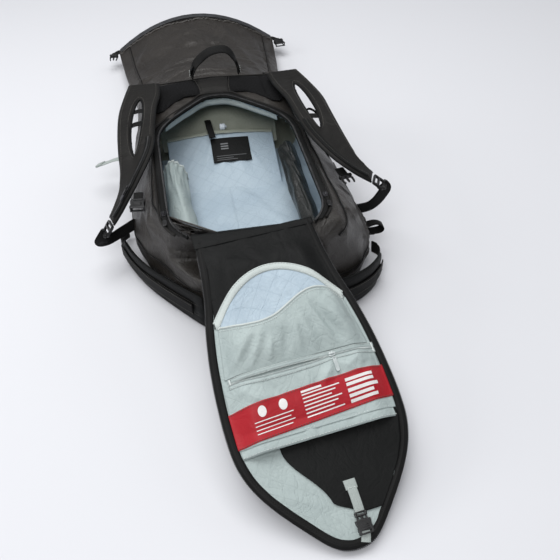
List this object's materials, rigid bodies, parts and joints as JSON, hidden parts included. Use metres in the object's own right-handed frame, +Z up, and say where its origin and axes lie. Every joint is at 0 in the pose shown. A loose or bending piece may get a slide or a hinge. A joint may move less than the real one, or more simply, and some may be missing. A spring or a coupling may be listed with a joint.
{
  "type": "ski touring backpack",
  "caption": "Roll-top ski touring backpack on its front, its zipped back panel folded out, with shoulder straps, hip wings, inner sleeves and panel pockets.",
  "frame": {"origin": "centre of the flat front face of the front pocket, which the pack lies on", "axes": "+Z up out of the wearer's side of the pack, +Y towards the roll-top, +X to the right of someone looking down on the open pack with the roll-top away from them"},
  "size_m": [0.5402, 1.5, 0.2225],
  "materials": {
    "shell_cloth": "coated woven",
    "black_cloth": "woven",
    "lining_cloth": "light diamond ripstop with a sheen",
    "panel_cloth": "light ripstop",
    "red_cloth": "printed cloth",
    "webbing": "ribbed webbing",
    "grey_webbing": "ribbed webbing",
    "mesh_foam": "spacer mesh over foam",
    "black_plastic": "moulded",
    "board_plastic": "sheet",
    "slider_metal": "dark nickel paint",
    "clear_plastic": "clear"
  },
  "bodies": {
    "pack": {"front_panel": "shell_cloth", "side_panel_left": "shell_cloth", "side_panel_right": "shell_cloth", "bottom_panel": "shell_cloth", "yoke_panel": "shell_cloth", "lining": "lining_cloth", "front_pocket": "shell_cloth", "main_zip_tape": "webbing", "tool_sleeve": "lining_cloth", "probe_sleeve": "black_cloth", "divider": "lining_cloth", "label_patch": "black_cloth", "tool_loop": "webbing", "yoke_pad": "mesh_foam", "hip_belt_centre": "mesh_foam", "adjuster_webbing_left": "webbing", "adjuster_webbing_right": "webbing", "side_strap_upper_left": "grey_webbing", "side_strap_upper_right": "webbing", "side_strap_lower_right": "webbing", "pole_loop": "webbing", "rolltop_collar": "shell_cloth"},
    "drawcord_lock": {"drawcord_lock": "clear_plastic"},
    "grab_handle": {"grab_handle": "webbing"},
    "shoulder_strap_left": {"shoulder_pad_left": "shell_cloth"},
    "shoulder_strap_right": {"shoulder_pad_right": "shell_cloth"},
    "ladder_lock_left": {"ladder_lock_left": "black_plastic"},
    "ladder_lock_right": {"ladder_lock_right": "black_plastic"},
    "sternum_strap_left": {"sternum_webbing_left": "webbing", "sternum_buckle_female": "black_plastic"},
    "sternum_strap_right": {"sternum_webbing_right": "webbing", "sternum_buckle_male": "black_plastic"},
    "hip_wing_left": {"hip_wing_left": "black_cloth", "hip_webbing_left": "webbing"},
    "hip_wing_right": {"hip_wing_right": "black_cloth", "hip_webbing_right": "webbing"},
    "rolltop_end": {"rolltop_mouth": "shell_cloth", "rolltop_stiffener": "board_plastic"},
    "rolltop_buckle_male": {"rolltop_buckle_male": "black_plastic"},
    "rolltop_buckle_female": {"rolltop_buckle_female": "black_plastic"},
    "main_slider_left": {"main_slider_left": "slider_metal"},
    "main_slider_right": {"main_slider_right": "slider_metal"},
    "main_pull_left": {"main_pull_left": "webbing"},
    "main_pull_right": {"main_pull_right": "webbing"},
    "back_panel": {"frame_sheet": "board_plastic", "panel_lining": "panel_cloth", "panel_binding": "black_cloth", "back_foam": "mesh_foam", "reservoir_sleeve": "panel_cloth", "goggle_pocket": "panel_cloth", "panel_base": "black_cloth", "zip_pocket": "panel_cloth", "pocket_zip_tape": "panel_cloth", "info_card": "red_cloth", "hanger_buckle_female": "black_plastic"},
    "hanger_strap": {"hanger_webbing": "grey_webbing", "hanger_buckle_male": "black_plastic"},
    "pocket_slider": {"pocket_slider": "slider_metal"},
    "pocket_pull": {"pocket_pull": "grey_webbing"}
  },
  "joints": [
    {"name": "back_panel_fold", "type": "hinge", "parent": "pack", "child": "back_panel", "pos_m": [0, -0.295, 0.19], "axis": [0.9979, 0.0654, 0], "range_deg": [-205.3, 0]},
    {"name": "shoulder_strap_left_lift", "type": "hinge", "parent": "pack", "child": "shoulder_strap_left", "pos_m": [-0.146, 0.25, 0.177], "axis": [-1, 0, 0], "range_deg": [0, 35]},
    {"name": "shoulder_strap_right_lift", "type": "hinge", "parent": "pack", "child": "shoulder_strap_right", "pos_m": [0.148, 0.25, 0.177], "axis": [-1, 0, 0], "range_deg": [0, 35]},
    {"name": "ladder_lock_left_tilt", "type": "hinge", "parent": "shoulder_strap_left", "child": "ladder_lock_left", "pos_m": [-0.2315, -0.1115, 0.099], "axis": [-0.2322, 0.9473, -0.2206], "range_deg": [-20, 20]},
    {"name": "ladder_lock_right_tilt", "type": "hinge", "parent": "shoulder_strap_right", "child": "ladder_lock_right", "pos_m": [0.241, -0.1485, 0.155], "axis": [-0.3618, -0.921, 0.1447], "range_deg": [-20, 20]},
    {"name": "sternum_strap_left_slide", "type": "slide", "parent": "shoulder_strap_left", "child": "sternum_strap_left", "axis": [0.3311, 0.7927, 0.5118], "range_m": [-0.012, 0.003]},
    {"name": "sternum_strap_right_slide", "type": "slide", "parent": "shoulder_strap_right", "child": "sternum_strap_right", "axis": [-0.6007, 0.7409, 0.3004], "range_m": [-0.01, 0.01]},
    {"name": "grab_handle_swing", "type": "hinge", "parent": "pack", "child": "grab_handle", "pos_m": [0.008, 0.275, 0.168], "axis": [1, 0, 0], "range_deg": [-30, 40]},
    {"name": "hip_wing_left_swing", "type": "hinge", "parent": "pack", "child": "hip_wing_left", "pos_m": [-0.087, -0.321, 0.04], "axis": [0, 0, 1], "range_deg": [0, 60]},
    {"name": "hip_wing_right_swing", "type": "hinge", "parent": "pack", "child": "hip_wing_right", "pos_m": [0.113, -0.321, 0.04], "axis": [0, 0, -1], "range_deg": [0, 60]},
    {"name": "rolltop_fold", "type": "hinge", "parent": "pack", "child": "rolltop_end", "pos_m": [0, 0.555, 0.118], "axis": [1, 0, 0], "range_deg": [0, 150]},
    {"name": "rolltop_buckle_male_flop", "type": "hinge", "parent": "rolltop_end", "child": "rolltop_buckle_male", "pos_m": [-0.212, 0.701, 0.036], "axis": [0, 1, 0], "range_deg": [0, 60]},
    {"name": "rolltop_buckle_female_flop", "type": "hinge", "parent": "rolltop_end", "child": "rolltop_buckle_female", "pos_m": [0.212, 0.701, 0.036], "axis": [0, -1, 0], "range_deg": [0, 60]},
    {"name": "main_slider_left_run", "type": "slide", "parent": "pack", "child": "main_slider_left", "axis": [0, 0.9979, -0.0645], "range_m": [0, 0.24]},
    {"name": "main_slider_right_run", "type": "slide", "parent": "pack", "child": "main_slider_right", "axis": [0, 0.9979, -0.0645], "range_m": [0, 0.24]},
    {"name": "main_pull_left_lift", "type": "hinge", "parent": "main_slider_left", "child": "main_pull_left", "pos_m": [-0.13459, -0.23196, 0.19208], "axis": [-1, 0, 0], "range_deg": [0, 90]},
    {"name": "main_pull_right_lift", "type": "hinge", "parent": "main_slider_right", "child": "main_pull_right", "pos_m": [0.13459, -0.23196, 0.19208], "axis": [-1, 0, 0], "range_deg": [0, 90]},
    {"name": "pocket_slider_run", "type": "slide", "parent": "back_panel", "child": "pocket_slider", "axis": [0.9917, 0.1259, 0.0241], "range_m": [-0.14, 0.055]},
    {"name": "pocket_pull_lift", "type": "hinge", "parent": "pocket_slider", "child": "pocket_pull", "pos_m": [0.07778, -0.52313, 0.13152], "axis": [-0.9917, -0.1259, -0.0241], "range_deg": [0, 90]},
    {"name": "hanger_clip_release", "type": "slide", "parent": "back_panel", "child": "hanger_strap", "axis": [-0.1259, 0.9215, 0.3673], "range_m": [0, 0.016]},
    {"name": "drawcord_lock_slide", "type": "slide", "parent": "pack", "child": "drawcord_lock", "axis": [1, 0, 0], "range_m": [0, 0.05]}
  ]
}
